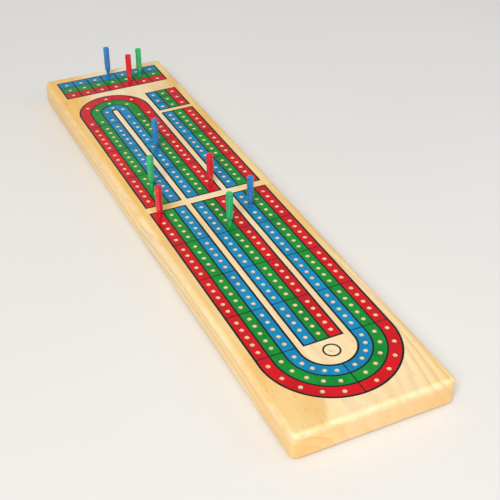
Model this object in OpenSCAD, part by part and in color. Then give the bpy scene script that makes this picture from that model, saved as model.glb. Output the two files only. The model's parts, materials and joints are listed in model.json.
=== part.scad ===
// Folding cribbage board: two hinged wooden halves, a printed three-lane track and nine pegs.
// Lengths are in millimetres. X runs across the lanes, +Y along them to the far end, +Z up.
// The origin is under the middle of the fold, on the plane that the feet stand on.
// Every y below is a distance from the fold; the near half is built that way and mirrored.

/* [Board] */
// Width of the board, across the lanes
board_w = 86; // [84:1:96]
// Length of one half, from the fold to its end
half_l = 189; // [188:1:200]
// Thickness of the wood
board_t = 14; // [13.5:0.5:18]
// Radius of the rounded top edges
edge_r = 3; // [1:0.5:4]
// Radius of the corners seen from above
corner_r = 4; // [2:0.5:6]
// Radius of the softened lower edges
lower_edge_r = 0.8; // [0.3:0.1:1.2]
// Gap between the two halves when the board is flat
seam_gap = 0.3; // [0.2:0.1:0.6]
// Chamfer along the top of each half's edge at the fold
seam_chamfer = 0.4; // [0.2:0.1:0.8]

/* [Peg holes] */
// Radius of a peg hole
hole_r = 1.2; // [1.1:0.05:1.5]
// Depth of the straight wall of a peg hole
hole_depth = 8; // [6:0.5:8]
// Depth of the drill point under a peg hole
hole_tip = 0.8; // [0.4:0.1:0.8]
// Width of the bare chamfer around a peg hole
hole_chamfer = 0.15; // [0.1:0.05:0.4]

/* [Track] */
// Distance between two holes of a group of five
hole_pitch = 6; // [5.8:0.1:6.1]
// Distance between the last hole of a group and the first of the next
group_gap = 10.1; // [9.5:0.1:10.4]
// Distance between two neighbouring lanes of a column
lane_pitch = 7; // [6.6:0.1:7.2]
// Distance between two columns
column_pitch = 25.4; // [24.6:0.1:25.6]
// Width of the dark line between two lanes
line_w = 0.9; // [0.5:0.1:1.1]
// Width of the dark line between two cells of one lane
cross_w = 0.6; // [0.4:0.1:0.9]
// Width of the dark line around a column
edge_line_w = 1.1; // [0.8:0.1:1.2]
// Thickness of the printed ink
ink_t = 0.15; // [0.1:0.05:0.3]

/* [Far half] */
// Start of the printed track on the far half
far_start = 5.65; // [4.5:0.05:7]
// First row of holes on the far half
far_first = 12.3; // [11.5:0.1:13]
// End of the right column, before the start box
right_end = 109.25; // [109:0.05:110]
// Row of straight holes that begins the small U-turn
loop_first = 114.6; // [114:0.1:116]
// Centre of the small U-turn
loop_y = 124.8; // [123.5:0.1:127]
// Angles between the middle hole of the small U-turn and its neighbours, from the outer lane to the inner
loop_steps = [52, 56, 75]; // [50:1:78]
// Start of the start box
box_start = 113.95; // [113.9:0.05:115]
// Length of one cell of the start box
box_pitch = 8.9; // [8:0.1:9]
// Start of the strip that counts games
games_start = 155.65; // [155:0.05:157]
// Length of one cell of the games strip
games_pitch = 8.1; // [7:0.1:8.5]

/* [Near half] */
// Start of the printed track on the near half
near_start = 1.2; // [1.2:0.05:2]
// First row of holes on the near half
near_first = 6.6; // [6:0.1:7]
// Centre of the big U-turn
bend_y = 142; // [141:0.5:144]
// Angle from the start of the big U-turn to its first hole
bend_first = 3; // [2:0.5:5]
// Angle between two holes of a group in the big U-turn
bend_step = 18; // [16:0.5:18.5]
// Place of the finish hole
finish_y = 146.5; // [145:0.5:148]
// Radius of the printed ring around the finish hole
finish_r = 4.6; // [3:0.1:6]

/* [Pegs] */
// Radius of a peg's head
peg_head_r = 2; // [1.8:0.05:2.2]
// Length of a peg's head
peg_head_l = 16.5; // [14:0.5:18]
// Height of the domed top of a peg
peg_dome = 0.8; // [0.4:0.1:1.2]
// Height of the cone between a peg's head and its shank
peg_cone = 2; // [1:0.5:3]
// Clearance between a peg's shank and its hole, on the radius
peg_clearance = 0.07; // [0.03:0.01:0.1]
// Height above the board of a peg pushed fully home
peg_above = 21; // [20:0.5:24]
// Depth of the ring near the top of a peg
peg_ring = 0.15; // [0.05:0.05:0.3]

/* [Hinges] */
// Distance of each hinge from the board's centre line
hinge_x = 25; // [20:1:28]
// Width of a hinge, along the fold
hinge_w = 20; // [18:1:24]
// Length of one hinge leaf, from the fold
leaf_l = 9; // [8:0.5:12]
// Thickness of a hinge leaf
leaf_t = 0.8; // [0.6:0.1:0.9]
// Radius of the hinge barrel
barrel_r = 1; // [0.9:0.05:1]
// Radius of the hinge pin
pin_r = 0.5; // [0.4:0.05:0.6]
// Distance of the pin's axis below the wood
pin_drop = 1.2; // [1.15:0.05:1.2]
// Clearance between the turning knuckles and the pin, on the radius
pin_clearance = 0.05; // [0.03:0.01:0.1]
// Gap between two knuckles
knuckle_gap = 0.2; // [0.1:0.05:0.3]
// Radius of a hinge screw's thread
screw_r = 0.9; // [0.7:0.1:1]
// Radius of a hinge screw's head
screw_head_r = 1.8; // [1.5:0.1:2]
// Length of a hinge screw
screw_l = 4.8; // [4:0.2:4.8]

/* [Underside] */
// Height of a rubber foot
foot_h = 2.3; // [2.3:0.05:2.35]
// Radius of a rubber foot
foot_r = 4; // [3:0.5:5]
// Distance of the feet from the board's centre line
foot_x = 35; // [34:0.5:36]
// Length of the hollow that stores the pegs
store_l = 62; // [40:1:80]
// Width of the hollow that stores the pegs
store_w = 24; // [16:1:26]
// Depth of the hollow that stores the pegs
store_depth = 3.6; // [2:0.1:4]
// Radius of a closing magnet
magnet_r = 3; // [2:0.5:4]
// Thickness of a closing magnet
magnet_t = 2; // [1:0.5:3]
// Distance of each magnet from the board's centre line
magnet_x = 20; // [15:1:26]

/* [Hidden] */
$fn = 96;

// Lane colours and columns
RED = 0;
GREEN = 1;
BLUE = 2;
LEFT = 0;
MIDDLE = 1;
RIGHT = 2;
COLOURS = [RED, GREEN, BLUE];
COLUMNS = [LEFT, MIDDLE, RIGHT];
ink_names = ["firebrick", "seagreen", "steelblue"];
peg_names = ["crimson", "mediumseagreen", "royalblue"];

// Heights
top_z = foot_h + board_t;
pin_z = foot_h - pin_drop;
seam_y = seam_gap / 2;
// Length by which a cutting shape passes the face it cuts
over = 1;
// Side of a square larger than any printed shape
reach = 2 * board_w;

// Track layout
group_size = 5;
far_groups = 3;
near_groups = 4;
lanes = 3;
group_pitch = (group_size - 1) * hole_pitch + group_gap;
lane_w = lane_pitch - line_w;
column_w = lanes * lane_pitch;
// How far the line around a column reaches outside the column
outline = edge_line_w - line_w / 2;
field_w = 2 * column_pitch + column_w;
box_cells = 3;
games_cells = 7;
games_cell_w = field_w / games_cells;
loop_x = -column_pitch / 2;
loop_cell = far_first + far_groups * group_pitch - group_gap / 2;
bend_cell = near_first + near_groups * group_pitch - group_gap / 2;

// Peg proportions; a peg pushed home stops a little above the bottom of its hole's straight wall
peg_rest = 0.1;
shank_r = hole_r - peg_clearance;
shank_depth = hole_depth - peg_rest;
shank_tip = 0.3;
ring_drop = 2.6;
ring_w = 0.3;

// Feet stand at different distances on the two halves, so that they miss each other when folded
far_foot_y = [30, 178];
near_foot_y = [18, 166];
foot_chamfer = 0.5;
store_y = 85;
magnet_y = 181;
screw_x = 6;
screw_y = 5.4;
knuckles = 3;
// Where the plate of a leaf begins, clear of the other leaf's knuckles
plate_y = barrel_r + 0.3;

// The red lane is on the outside of the left column, and on the right of the other two
function lane_x(column, colour) =
    (column - 1) * column_pitch + (column == LEFT ? colour - 1 : 1 - colour) * lane_pitch;
function row_y(first, row) =
    first + floor(row / group_size) * group_pitch + (row % group_size) * hole_pitch;
function on_arc(centre, radius, angle) =
    centre + radius * [cos(angle), sin(angle)];
function loop_r(colour) = (lane_x(MIDDLE, colour) - lane_x(LEFT, colour)) / 2;
function bend_r(colour) = (lane_x(RIGHT, colour) - lane_x(LEFT, colour)) / 2;
function box_y(cell) = box_start + (cell + 0.5) * box_pitch;
function games_x(cell) = (cell - (games_cells - 1) / 2) * games_cell_w;
function games_y(colour) = games_start + (colour + 0.5) * games_pitch;

// Centres of the holes in the straight stretches of one lane colour
function straight_holes(colour, first, groups) = [
    for (column = COLUMNS, row = [0 : groups * group_size - 1])
        [lane_x(column, colour), row_y(first, row)]
];
function far_holes(colour) = concat(
    straight_holes(colour, far_first, far_groups),
    [for (column = [LEFT, MIDDLE]) [lane_x(column, colour), loop_first]],
    [for (turn = [-1 : 1])
        on_arc([loop_x, loop_y], loop_r(colour), 90 + turn * loop_steps[colour])],
    [for (cell = [0 : box_cells - 1]) [lane_x(RIGHT, colour), box_y(cell)]],
    [for (cell = [0 : games_cells - 1]) [games_x(cell), games_y(colour)]]
);
function near_holes(colour) = concat(
    straight_holes(colour, near_first, near_groups),
    [for (hole = [0 : group_size - 1], side = [0, 1])
        on_arc([0, bend_y], bend_r(colour), abs(180 * side - bend_first - hole * bend_step))]
);
finish_hole = [0, finish_y];
all_far_holes = [for (colour = COLOURS) each far_holes(colour)];
all_near_holes = concat([for (colour = COLOURS) each near_holes(colour)], [finish_hole]);

// Places a shape at each of a list of points
module at_each(points) {
    for (point = points)
        translate(point) children();
}

// Turns a shape drawn in distances from the fold into one on the near half
module near_side() {
    mirror([0, 1, 0]) children();
}

// One copy on each side of the centre line
module both_sides(x) {
    for (side = [-1, 1])
        translate([side * x, 0, 0]) children();
}

// Rectangle standing on the x axis, with rounded upper corners and softened lower ones
module rounded_section(w, h) {
    translate([-w / 2, lower_edge_r]) square([w, h - lower_edge_r - edge_r]);
    translate([-w / 2 + lower_edge_r, 0]) square([w - 2 * lower_edge_r, h - edge_r]);
    translate([-w / 2 + edge_r, edge_r]) square([w - 2 * edge_r, h - edge_r]);
    for (side = [-1, 1]) {
        translate([side * (w / 2 - edge_r), h - edge_r]) circle(r = edge_r);
        translate([side * (w / 2 - lower_edge_r), lower_edge_r]) circle(r = lower_edge_r);
    }
}

// Section along the board: square at the fold with a chamfer, rounded at the far end
module long_section() {
    difference() {
        intersection() {
            rounded_section(2 * half_l, board_t);
            translate([seam_y, 0]) square([half_l, board_t]);
        }
        translate([seam_y, board_t]) rotate(45)
            square(seam_chamfer * sqrt(2), center = true);
    }
}

// Outline of one half seen from above
module plan_outline() {
    translate([-board_w / 2, 0]) square([board_w, half_l - corner_r]);
    translate([-board_w / 2 + corner_r, 0]) square([board_w - 2 * corner_r, half_l]);
    for (side = [-1, 1])
        translate([side * (board_w / 2 - corner_r), half_l - corner_r]) circle(r = corner_r);
}

// Solid block of one half, standing on z = 0
module wood_blank() {
    intersection() {
        translate([0, half_l + over, 0]) rotate([90, 0, 0])
            linear_extrude(half_l + over) rounded_section(board_w, board_t);
        translate([-board_w / 2 - over, 0, 0]) rotate([90, 0, 90])
            linear_extrude(board_w + 2 * over) long_section();
        translate([0, 0, -over]) linear_extrude(board_t + 2 * over) plan_outline();
    }
}

// Drilled and chamfered peg hole, with its mouth at z = 0
module peg_hole() {
    rotate_extrude()
        polygon([
            [0, -hole_depth - hole_tip],
            [hole_r, -hole_depth],
            [hole_r, -hole_chamfer],
            [hole_r + hole_chamfer, 0],
            [hole_r + hole_chamfer, over],
            [0, over]
        ]);
}

// Hollow with round ends that stores the pegs, opening downwards at z = 0
module store_hollow() {
    straight = store_l - store_w;
    translate([-store_w / 2, store_y - straight / 2, -over])
        cube([store_w, straight, store_depth + over]);
    for (end = [-1, 1])
        translate([0, store_y + end * straight / 2, -over])
            cylinder(r = store_w / 2, h = store_depth + over);
}

// Wood of one half, with the holes at the given points
module wood_half(holes) {
    translate([0, 0, foot_h])
        difference() {
            wood_blank();
            at_each([for (hole = holes) [hole.x, hole.y, board_t]]) peg_hole();
            store_hollow();
            both_sides(magnet_x) translate([0, magnet_y, -over])
                cylinder(r = magnet_r, h = magnet_t + over);
            both_sides(hinge_x) both_sides(screw_x) translate([0, screw_y, -over])
                cylinder(r = screw_r, h = screw_l + over);
        }
}

// Rectangular cell of ink, drawn inside the middle of its border lines
module cell(x, y0, y1, w) {
    translate([x - (w - line_w) / 2, y0 + cross_w / 2])
        square([w - line_w, y1 - y0 - cross_w]);
}

// Half ring that opens towards the fold
module half_ring(centre, outer_r, inner_r) {
    translate(centre)
        intersection() {
            difference() {
                circle(r = outer_r);
                circle(r = inner_r);
            }
            translate([-reach / 2, 0]) square([reach, reach]);
        }
}

// Cells of a straight lane; the first starts and the last ends where they are told to
module lane_cells(column, colour, start, first, groups, end) {
    for (group = [0 : groups - 1]) {
        y0 = group == 0 ? start : first + group * group_pitch - group_gap / 2;
        y1 = group == groups - 1 ? end : first + (group + 1) * group_pitch - group_gap / 2;
        cell(lane_x(column, colour), y0, y1, lane_pitch);
    }
}

// Cell that runs straight from y0, round a U-turn and back
module turn_cell(x, y0, centre_y, radius) {
    for (side = [-1, 1])
        translate([x + side * radius - lane_w / 2, y0 + cross_w / 2])
            square([lane_w, centre_y - y0 - cross_w / 2]);
    half_ring([x, centre_y], radius + lane_w / 2, radius - lane_w / 2);
}

module far_colour_shape(colour) {
    lane_cells(LEFT, colour, far_start, far_first, far_groups, loop_cell);
    lane_cells(MIDDLE, colour, far_start, far_first, far_groups, loop_cell);
    lane_cells(RIGHT, colour, far_start, far_first, far_groups, right_end);
    turn_cell(loop_x, loop_cell, loop_y, loop_r(colour));
    for (i = [0 : box_cells - 1])
        cell(lane_x(RIGHT, colour), box_start + i * box_pitch,
            box_start + (i + 1) * box_pitch, lane_pitch);
    for (i = [0 : games_cells - 1])
        cell(games_x(i), games_start + colour * games_pitch,
            games_start + (colour + 1) * games_pitch, games_cell_w);
}

module near_colour_shape(colour) {
    for (column = COLUMNS)
        lane_cells(column, colour, near_start, near_first, near_groups, bend_cell);
    difference() {
        turn_cell(0, bend_cell, bend_y, bend_r(colour));
        translate([-cross_w / 2, bend_y]) square([cross_w, reach]);
    }
}

// Border of one column, or of any other rectangle of cells
module border(x, y0, y1, w) {
    translate([x - w / 2 - outline, y0 - outline])
        square([w + 2 * outline, y1 - y0 + 2 * outline]);
}

// Border around the three lanes of a U-turn
module turn_border(centre, outer, inner) {
    half_ring(centre, outer + lane_pitch / 2 + outline, inner - lane_pitch / 2 - outline);
}

module far_line_shape() {
    difference() {
        union() {
            for (column = [LEFT, MIDDLE])
                border((column - 1) * column_pitch, far_start, loop_y - outline, column_w);
            turn_border([loop_x, loop_y], loop_r(RED), loop_r(BLUE));
            border(column_pitch, far_start, right_end, column_w);
            border(column_pitch, box_start, box_start + box_cells * box_pitch, column_w);
            border(0, games_start, games_start + lanes * games_pitch, field_w);
        }
        for (colour = COLOURS) far_colour_shape(colour);
    }
}

module near_line_shape() {
    difference() {
        union() {
            for (column = [LEFT, RIGHT])
                border((column - 1) * column_pitch, near_start, bend_y - outline, column_w);
            turn_border([0, bend_y], bend_r(RED), bend_r(BLUE));
            border(0, near_start, bend_cell, column_w);
        }
        for (colour = COLOURS) near_colour_shape(colour);
    }
    translate(finish_hole)
        difference() {
            circle(r = finish_r);
            circle(r = finish_r - line_w);
        }
}

// Layer of ink on the board, pierced at the given points
module ink(holes) {
    translate([0, 0, top_z])
        linear_extrude(ink_t)
            difference() {
                children();
                at_each(holes) circle(r = hole_r + hole_chamfer);
            }
}

module far_ink(colour) {
    color(ink_names[colour]) ink(far_holes(colour)) far_colour_shape(colour);
}

module near_ink(colour) {
    color(ink_names[colour]) near_side() ink(near_holes(colour)) near_colour_shape(colour);
}

module far_board() {
    color("burlywood") wood_half(all_far_holes);
}

module near_board() {
    color("wheat") near_side() wood_half(all_near_holes);
}

module far_red_lanes() {
    far_ink(RED);
}

module far_green_lanes() {
    far_ink(GREEN);
}

module far_blue_lanes() {
    far_ink(BLUE);
}

module far_lane_lines() {
    color("darkslategray") ink([]) far_line_shape();
}

module near_red_lanes() {
    near_ink(RED);
}

module near_green_lanes() {
    near_ink(GREEN);
}

module near_blue_lanes() {
    near_ink(BLUE);
}

module near_lane_lines() {
    color("darkslategray") near_side() ink([]) near_line_shape();
}

// Hinge leaf on the +Y side of the pin, with the knuckles numbered in own
module leaf(own, bore_r) {
    knuckle_w = hinge_w / knuckles;
    difference() {
        union() {
            translate([-hinge_w / 2, plate_y, pin_z + pin_drop - leaf_t])
                cube([hinge_w, leaf_l - plate_y, leaf_t]);
            for (knuckle = own) {
                x0 = -hinge_w / 2 + knuckle * knuckle_w + knuckle_gap / 2;
                w = knuckle_w - knuckle_gap;
                translate([x0, 0, pin_z]) rotate([0, 90, 0]) cylinder(r = barrel_r, h = w);
                translate([x0, 0, pin_z + pin_drop - leaf_t])
                    cube([w, barrel_r + over, leaf_t]);
            }
        }
        translate([-hinge_w / 2 - over, 0, pin_z]) rotate([0, 90, 0])
            cylinder(r = bore_r, h = hinge_w + 2 * over);
        both_sides(screw_x) translate([0, screw_y, foot_h - leaf_t])
            screw_sink();
    }
}

// Countersunk hole in a leaf, from its lower face
module screw_sink() {
    rotate_extrude()
        polygon([
            [0, -over],
            [screw_head_r, -over],
            [screw_head_r, 0],
            [screw_r, leaf_t],
            [screw_r, leaf_t + over],
            [0, leaf_t + over]
        ]);
}

// Countersunk screw with a cross recess, its head at z = 0 and its point upwards
module screw() {
    point = screw_l / 4;
    recess_w = 0.4;
    recess_l = 2 * screw_r;
    difference() {
        rotate_extrude()
            polygon([
                [0, 0],
                [screw_head_r, 0],
                [screw_r, leaf_t],
                [screw_r, screw_l - point],
                [0, screw_l]
            ]);
        for (turn = [0, 90])
            rotate(turn) translate([-recess_l / 2, -recess_w / 2, -over])
                cube([recess_l, recess_w, over + recess_w]);
    }
}

module far_leaf(x) {
    color("darkgoldenrod") translate([x, 0, 0]) leaf([0, 2], pin_r);
}

module near_leaf(x) {
    color("darkgoldenrod") near_side() translate([x, 0, 0]) leaf([1], pin_r + pin_clearance);
}

module hinge_pin(x) {
    color("goldenrod") translate([x - hinge_w / 2, 0, pin_z]) rotate([0, 90, 0])
        cylinder(r = pin_r, h = hinge_w);
}

module left_hinge_far_leaf() {
    far_leaf(-hinge_x);
}

module left_hinge_near_leaf() {
    near_leaf(-hinge_x);
}

module left_hinge_pin() {
    hinge_pin(-hinge_x);
}

module right_hinge_far_leaf() {
    far_leaf(hinge_x);
}

module right_hinge_near_leaf() {
    near_leaf(hinge_x);
}

module right_hinge_pin() {
    hinge_pin(hinge_x);
}

// The four screws of one half
module hinge_screws() {
    color("goldenrod") both_sides(hinge_x) both_sides(screw_x)
        translate([0, screw_y, foot_h - leaf_t]) screw();
}

module far_hinge_screws() {
    hinge_screws();
}

module near_hinge_screws() {
    near_side() hinge_screws();
}

// The four rubber feet of one half
module feet(places) {
    color("dimgray") both_sides(foot_x) at_each([for (y = places) [0, y, 0]])
        rotate_extrude()
            polygon([
                [0, 0],
                [foot_r - foot_chamfer, 0],
                [foot_r, foot_chamfer],
                [foot_r, foot_h],
                [0, foot_h]
            ]);
}

module far_feet() {
    feet(far_foot_y);
}

module near_feet() {
    near_side() feet(near_foot_y);
}

// The two closing magnets of one half, flush with the underside
module magnets() {
    color("silver") both_sides(magnet_x) translate([0, magnet_y, foot_h])
        cylinder(r = magnet_r, h = magnet_t);
}

module far_magnets() {
    magnets();
}

module near_magnets() {
    near_side() magnets();
}

// Peg pushed home in a hole whose mouth is at z = 0
module peg() {
    head_z = peg_above - peg_head_l;
    shoulder_z = peg_above - peg_dome;
    dome_r = (peg_head_r * peg_head_r + peg_dome * peg_dome) / (2 * peg_dome);
    difference() {
        union() {
            intersection() {
                translate([0, 0, head_z]) cylinder(r = peg_head_r, h = peg_head_l);
                translate([0, 0, peg_above - dome_r]) sphere(r = dome_r);
            }
            rotate_extrude()
                polygon([
                    [0, -shank_depth],
                    [shank_r - shank_tip, -shank_depth],
                    [shank_r, shank_tip - shank_depth],
                    [shank_r, head_z - peg_cone],
                    [peg_head_r, head_z],
                    [peg_head_r, shoulder_z - ring_drop],
                    [0, shoulder_z - ring_drop]
                ]);
        }
        translate([0, 0, peg_above - ring_drop])
            difference() {
                cylinder(r = peg_head_r + over, h = ring_w);
                translate([0, 0, -over]) cylinder(r = peg_head_r - peg_ring, h = ring_w + 2 * over);
            }
    }
}

// Peg that stands proud of its seat by a little
module peg_at(colour, x, y, proud) {
    color(peg_names[colour]) translate([x, y, top_z + proud]) peg();
}

// Pegs in a lane: the row is counted from the fold, and rows on the near half are negative
module lane_peg(colour, column, row, proud) {
    y = row > 0 ? row_y(far_first, row - 1) : -row_y(near_first, -row - 1);
    peg_at(colour, lane_x(column, colour), y, proud);
}

module games_peg(colour, cell, proud) {
    peg_at(colour, games_x(cell), games_y(colour), proud);
}

module red_front_peg() {
    lane_peg(RED, MIDDLE, 1, 1.2);
}

module red_back_peg() {
    lane_peg(RED, LEFT, -1, 0.6);
}

module red_games_peg() {
    games_peg(RED, 4, 1.2);
}

module green_front_peg() {
    lane_peg(GREEN, MIDDLE, -5, 1);
}

module green_back_peg() {
    lane_peg(GREEN, LEFT, 3, 1.4);
}

module green_games_peg() {
    games_peg(GREEN, 5, 0.4);
}

module blue_front_peg() {
    lane_peg(BLUE, MIDDLE, 9, 1.6);
}

module blue_back_peg() {
    lane_peg(BLUE, RIGHT, -3, 0);
}

module blue_games_peg() {
    games_peg(BLUE, 3, 2);
}

far_board();
near_board();
far_red_lanes();
far_green_lanes();
far_blue_lanes();
far_lane_lines();
near_red_lanes();
near_green_lanes();
near_blue_lanes();
near_lane_lines();
left_hinge_far_leaf();
left_hinge_near_leaf();
left_hinge_pin();
right_hinge_far_leaf();
right_hinge_near_leaf();
right_hinge_pin();
far_hinge_screws();
near_hinge_screws();
far_feet();
near_feet();
far_magnets();
near_magnets();
red_front_peg();
red_back_peg();
red_games_peg();
green_front_peg();
green_back_peg();
green_games_peg();
blue_front_peg();
blue_back_peg();
blue_games_peg();
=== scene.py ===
import json
import math

import bmesh
import bpy
from mathutils import Color, Matrix, Vector
from mathutils.geometry import delaunay_2d_cdt

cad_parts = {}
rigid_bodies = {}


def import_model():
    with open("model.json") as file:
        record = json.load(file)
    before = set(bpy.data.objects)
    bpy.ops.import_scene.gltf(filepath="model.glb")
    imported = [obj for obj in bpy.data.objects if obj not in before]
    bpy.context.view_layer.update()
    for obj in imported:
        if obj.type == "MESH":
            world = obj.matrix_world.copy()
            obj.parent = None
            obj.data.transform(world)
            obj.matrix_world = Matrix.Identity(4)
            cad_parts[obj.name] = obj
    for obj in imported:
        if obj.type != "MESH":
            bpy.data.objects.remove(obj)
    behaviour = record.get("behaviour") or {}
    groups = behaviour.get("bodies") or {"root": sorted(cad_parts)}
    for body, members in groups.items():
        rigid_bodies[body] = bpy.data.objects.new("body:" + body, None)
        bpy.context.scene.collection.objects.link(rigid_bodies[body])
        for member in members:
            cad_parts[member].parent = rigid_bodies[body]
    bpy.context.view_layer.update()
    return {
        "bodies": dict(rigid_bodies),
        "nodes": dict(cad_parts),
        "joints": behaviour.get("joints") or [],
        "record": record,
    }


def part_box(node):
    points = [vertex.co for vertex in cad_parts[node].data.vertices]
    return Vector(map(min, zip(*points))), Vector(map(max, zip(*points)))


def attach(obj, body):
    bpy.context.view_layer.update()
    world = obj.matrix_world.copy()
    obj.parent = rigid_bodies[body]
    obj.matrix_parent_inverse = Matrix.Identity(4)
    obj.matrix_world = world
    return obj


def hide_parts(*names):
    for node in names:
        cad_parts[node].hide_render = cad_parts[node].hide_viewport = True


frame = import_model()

# Lengths are in metres, and sizes are given in millimetres times MM
MM = 0.001

NODES = frame["nodes"]
COLOURS = ("red", "green", "blue")
PEG_PLACES = ("front", "back", "games")
# Each half with the side of the fold, along Y, that it lies on
HALVES = {"far": 1, "near": -1}
HINGES = ("left", "right")

board_low, board_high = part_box("far_board")
TOP_Z = board_high.z
BOARD_BOTTOM_Z = board_low.z
HALF_WIDTH = board_high.x
HALF_LENGTH = board_high.y
BODY_OF_NODE = {
    node: body
    for body, nodes in frame["record"]["behaviour"]["bodies"].items()
    for node in nodes
}
SLOT_OF_NODE = {part["node"]: part["material_slot"] for part in frame["record"]["subparts"]}


# ------------------------ shader helpers

def feed(tree, node, inputs):
    """Gives a node its inputs, each a value or another node's socket."""
    for key, value in inputs.items():
        if isinstance(value, bpy.types.NodeSocket):
            tree.links.new(value, node.inputs[key])
        else:
            node.inputs[key].default_value = value


def add(tree, kind, inputs=None, **settings):
    """A node with its settings and inputs."""
    node = tree.nodes.new(kind)
    for key, value in settings.items():
        setattr(node, key, value)
    feed(tree, node, inputs or {})
    return node


def maths(tree, operation, *values):
    return add(tree, "ShaderNodeMath", dict(enumerate(values)), operation=operation).outputs[0]


def remap(tree, value, low, high, new_low=0.0, new_high=1.0, smooth=True):
    """A value's range from low to high carried over to another range, and held at its ends."""
    node = add(tree, "ShaderNodeMapRange", {
        "Value": value, "From Min": low, "From Max": high, "To Min": new_low, "To Max": new_high})
    node.interpolation_type = "SMOOTHSTEP" if smooth else "LINEAR"
    return node.outputs[0]


# The colour sockets of a Mix node
MIX_FACTOR, MIX_FIRST, MIX_SECOND = 0, 6, 7
MIX_RESULT = 2


def mix_colour(tree, factor, first, second, blend="MIX"):
    node = add(tree, "ShaderNodeMix", data_type="RGBA", blend_type=blend)
    feed(tree, node, {MIX_FACTOR: factor, MIX_FIRST: first, MIX_SECOND: second})
    return node.outputs[MIX_RESULT]


FULL_LEVEL = 255


def srgb(red, green, blue):
    """A colour given in display levels, as linear RGBA."""
    shown = Color((red / FULL_LEVEL, green / FULL_LEVEL, blue / FULL_LEVEL))
    return (*shown.from_srgb_to_scene_linear(), 1.0)


def find_node(tree, kind):
    """The node of this kind that a new tree starts with."""
    return next(node for node in tree.nodes if node.type == kind)


def new_material(name):
    """A new material, its tree, its Principled shader, and the place in millimetres of the row frame."""
    material = bpy.data.materials.new(name)
    material.use_nodes = True
    tree = material.node_tree
    source = add(tree, "ShaderNodeTexCoord").outputs["Object"]
    place = add(tree, "ShaderNodeVectorMath", {"Vector": source, "Scale": 1 / MM}, operation="SCALE")
    return material, tree, find_node(tree, "BSDF_PRINCIPLED"), place.outputs[0]


def noise(tree, place, per_mm, offset=(0.0, 0.0, 0.0), detail=2.0, roughness=0.5):
    """A noise pattern with its own frequency along each axis."""
    scaled = add(tree, "ShaderNodeMapping", {"Vector": place, "Location": offset, "Scale": per_mm})
    node = add(tree, "ShaderNodeTexNoise", {
        "Vector": scaled.outputs[0], "Scale": 1.0, "Detail": detail, "Roughness": roughness})
    return node.outputs[0]


def bump(tree, height, strength, depth_mm):
    """The normal of a surface with this height pattern."""
    inputs = {"Height": height, "Strength": strength, "Distance": depth_mm * MM}
    return add(tree, "ShaderNodeBump", inputs).outputs[0]


def vector_maths(tree, operation, *vectors):
    node = add(tree, "ShaderNodeVectorMath", dict(enumerate(vectors)), operation=operation)
    return node.outputs[0]


def length_of(tree, vector):
    return add(tree, "ShaderNodeVectorMath", {"Vector": vector}, operation="LENGTH").outputs["Value"]


def coordinate(tree, vector, axis):
    return add(tree, "ShaderNodeSeparateXYZ", {"Vector": vector}).outputs[axis]


def mix_shaders(tree, *inputs):
    """A mix of two shaders; its factor comes first."""
    return add(tree, "ShaderNodeMixShader", dict(enumerate(inputs))).outputs[0]


# ------------------------ materials

# Each pattern has its repeats per millimetre along X, Y and Z; those of the wood are long in Y.
# A patch gives the noise at which it starts and is full, then its strength at each.
# A shift moves a pattern along, so that it doesn't follow the others of the same wood.
NOISE_LOW = 0.3
NOISE_HIGH = 0.7

BACKDROP_COLOUR = srgb(226, 226, 225)
RAW_WOOD = srgb(253, 242, 216)
SAPWOOD = srgb(252, 234, 196)

# Each half's wood: the pith that its growth rings lie around, where its noise starts, its tones
# ("late" is the wood's tone at the end of a ring), how strongly the pale sapwood shows between the
# columns, and the golden streaks in the left margin. Lengths are in mm, and each streak has
# its middle, its half width and half length, and its strength.
WOODS = {
    "far": {
        "pith": (38.0, 0.0, -64.0),
        "offset": (11.0, 3.0, 7.0),
        "pale": srgb(252, 220, 144),
        "late": srgb(230, 166, 74),
        "gold": srgb(246, 192, 84),
        "blush": srgb(250, 210, 154),
        "sapwood": 0.8,
        "golden_streaks": (
            ((-38.2, 42.0), (2.8, 80.0), 0.95),
            ((-38.0, 178.0), (11.0, 36.0), 0.7),
        ),
    },
    "near": {
        "pith": (-52.0, 0.0, -46.0),
        "offset": (2.0, 19.0, 5.0),
        "pale": srgb(250, 223, 162),
        "late": srgb(232, 174, 96),
        "gold": srgb(244, 194, 110),
        "blush": srgb(250, 214, 174),
        "sapwood": 0.4,
        "golden_streaks": (
            ((-38.4, -26.0), (2.4, 60.0), 0.6),
        ),
    },
}
# Inks and plastics: the colour, its deeper tone, and where the noise starts
INKS = {
    "red_ink": (srgb(217, 6, 22), srgb(186, 2, 15), (1.0, 0.0, 0.0)),
    "green_ink": (srgb(8, 148, 46), srgb(0, 116, 40), (0.0, 4.0, 0.0)),
    "blue_ink": (srgb(0, 142, 194), srgb(0, 112, 158), (0.0, 0.0, 9.0)),
    "line_ink": (srgb(12, 32, 34), srgb(5, 18, 20), (6.0, 0.0, 2.0)),
}
PLASTICS = {
    "red_plastic": (srgb(224, 24, 44), srgb(192, 10, 30), (1.0, 2.0, 3.0)),
    "green_plastic": (srgb(44, 190, 116), srgb(24, 156, 88), (4.0, 5.0, 6.0)),
    "blue_plastic": (srgb(48, 134, 202), srgb(28, 98, 170), (7.0, 8.0, 9.0)),
}
# Metals: the colour, its dull tone, the roughness, and the pattern of the brush marks
METALS = {
    "hinge_brass": (srgb(226, 190, 112), srgb(178, 138, 72), 0.24, (0.4, 6.0, 6.0)),
    "pin_brass": (srgb(230, 196, 122), srgb(184, 146, 80), 0.2, (0.4, 6.0, 6.0)),
    "screw_brass": (srgb(222, 188, 112), srgb(166, 128, 66), 0.26, (3.0, 3.0, 3.0)),
    "magnet_plating": (srgb(206, 206, 208), srgb(150, 150, 154), 0.18, (2.0, 2.0, 2.0)),
}


def spread(tree, pattern, low, high):
    """The usual range of a noise, spread evenly from low to high."""
    return remap(tree, pattern, NOISE_LOW, NOISE_HIGH, low, high, smooth=False)


FIBRES_PER_MM = (2.6, 0.035, 2.6)
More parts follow.
